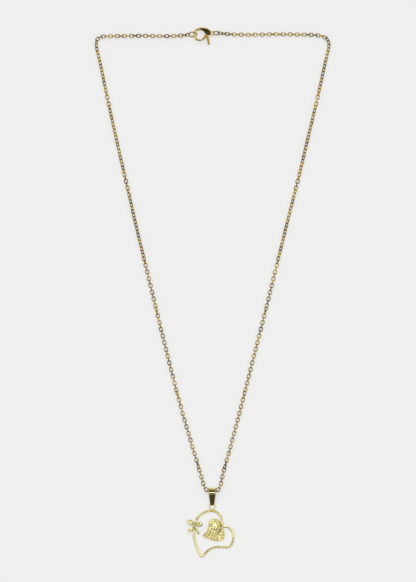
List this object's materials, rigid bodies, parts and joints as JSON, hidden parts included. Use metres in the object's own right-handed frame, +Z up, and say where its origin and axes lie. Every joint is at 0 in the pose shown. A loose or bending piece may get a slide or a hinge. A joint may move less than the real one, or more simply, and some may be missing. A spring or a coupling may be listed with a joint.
{
  "type": "pendant necklace",
  "caption": "Gold cable-chain necklace with a lobster clasp and a tapered bail carrying an open-heart pendant with a butterfly and a veiled mother and child.",
  "frame": {"origin": "under the middle of the laid-out necklace, on the surface it lies on", "axes": "+X to the right across the loop, +Y from the pendant towards the clasp, +Z up out of the surface"},
  "size_m": [0.093, 0.2084, 0.0034],
  "materials": {
    "chain_gold": "polished gold-coloured wire",
    "polished_gold": "mirror-polished gold",
    "satin_gold": "pale satin gold with bright-cut facets",
    "spring_steel": "bare steel pin and spring"
  },
  "bodies": {
    "neck_run": {"chain_left_end_link": "chain_gold", "chain_right_end_link": "chain_gold", "chain_left_1": "chain_gold", "chain_right_1": "chain_gold", "fold_1_left_upper_link": "chain_gold", "fold_1_right_upper_link": "chain_gold"},
    "band_2": {"fold_1_left_lower_link": "chain_gold", "fold_1_right_lower_link": "chain_gold", "chain_left_2": "chain_gold", "chain_right_2": "chain_gold", "fold_2_left_upper_link": "chain_gold", "fold_2_right_upper_link": "chain_gold"},
    "band_3": {"fold_2_left_lower_link": "chain_gold", "fold_2_right_lower_link": "chain_gold", "chain_left_3": "chain_gold", "chain_right_3": "chain_gold", "fold_3_left_upper_link": "chain_gold", "fold_3_right_upper_link": "chain_gold"},
    "band_4": {"fold_3_left_lower_link": "chain_gold", "fold_3_right_lower_link": "chain_gold", "chain_left_4": "chain_gold", "chain_right_4": "chain_gold", "fold_4_left_upper_link": "chain_gold", "fold_4_right_upper_link": "chain_gold"},
    "band_5": {"fold_4_left_lower_link": "chain_gold", "fold_4_right_lower_link": "chain_gold", "chain_left_5": "chain_gold", "chain_right_5": "chain_gold", "fold_5_left_upper_link": "chain_gold", "fold_5_right_upper_link": "chain_gold"},
    "bottom_run": {"fold_5_left_lower_link": "chain_gold", "fold_5_right_lower_link": "chain_gold", "chain_left_6": "chain_gold", "chain_right_6": "chain_gold", "bail_link_1": "chain_gold", "bail_link_2": "chain_gold", "bail_link_3": "chain_gold", "bail_link_4": "chain_gold", "bail_link_5": "chain_gold"},
    "bail": {"bail": "polished_gold"},
    "pendant": {"pendant_loop": "polished_gold", "heart_frame": "satin_gold", "butterfly": "satin_gold", "mother_figure": "satin_gold", "child_figure": "satin_gold"},
    "end_ring": {"end_ring": "polished_gold"},
    "tail_ring": {"tail_ring": "polished_gold"},
    "clasp": {"clasp_body": "polished_gold", "clasp_pin": "spring_steel", "clasp_spring": "spring_steel"},
    "lever": {"clasp_lever": "polished_gold"}
  },
  "joints": [
    {"name": "chain_fold_1", "type": "hinge", "parent": "neck_run", "child": "band_2", "pos_m": [0, 0.076, 0.00083], "axis": [1, 0, 0], "range_deg": [-80, 80]},
    {"name": "chain_fold_2", "type": "hinge", "parent": "band_2", "child": "band_3", "pos_m": [0, 0.043, 0.00083], "axis": [-1, 0, 0], "range_deg": [-80, 80]},
    {"name": "chain_fold_3", "type": "hinge", "parent": "band_3", "child": "band_4", "pos_m": [0, 0.01, 0.00083], "axis": [1, 0, 0], "range_deg": [-80, 80]},
    {"name": "chain_fold_4", "type": "hinge", "parent": "band_4", "child": "band_5", "pos_m": [0, -0.023, 0.00083], "axis": [-1, 0, 0], "range_deg": [-80, 80]},
    {"name": "chain_fold_5", "type": "hinge", "parent": "band_5", "child": "bottom_run", "pos_m": [0, -0.056, 0.00083], "axis": [1, 0, 0], "range_deg": [-80, 80]},
    {"name": "bail_swing", "type": "hinge", "parent": "bottom_run", "child": "bail", "pos_m": [-0.0002, -0.0779, 0.00155], "axis": [1, 0, 0], "range_deg": [-75, 75]},
    {"name": "pendant_swing", "type": "hinge", "parent": "bail", "child": "pendant", "pos_m": [-0.0002, -0.08287, 0.00068], "axis": [1, 0, 0], "range_deg": [-80, 80]},
    {"name": "end_ring_rock", "type": "hinge", "parent": "neck_run", "child": "end_ring", "pos_m": [-0.00785, 0.10145, 0.00172], "axis": [1, 0, 0], "range_deg": [-10, 10]},
    {"name": "tail_ring_rock", "type": "hinge", "parent": "neck_run", "child": "tail_ring", "pos_m": [0.00136, 0.102, 0.00132], "axis": [1, 0, 0], "range_deg": [-10, 10]},
    {"name": "clasp_roll", "type": "hinge", "parent": "neck_run", "child": "clasp", "pos_m": [-0.0035, 0.1015, 0.0013], "axis": [1, 0, 0], "range_deg": [-12, 12]},
    {"name": "lever_open", "type": "hinge", "parent": "clasp", "child": "lever", "pos_m": [-0.00185, 0.1022, 0.0013], "axis": [0, 0, 1], "range_deg": [0, 28], "stiffness_Nm_per_rad": 0.0002, "springref_deg": -20.05}
  ]
}
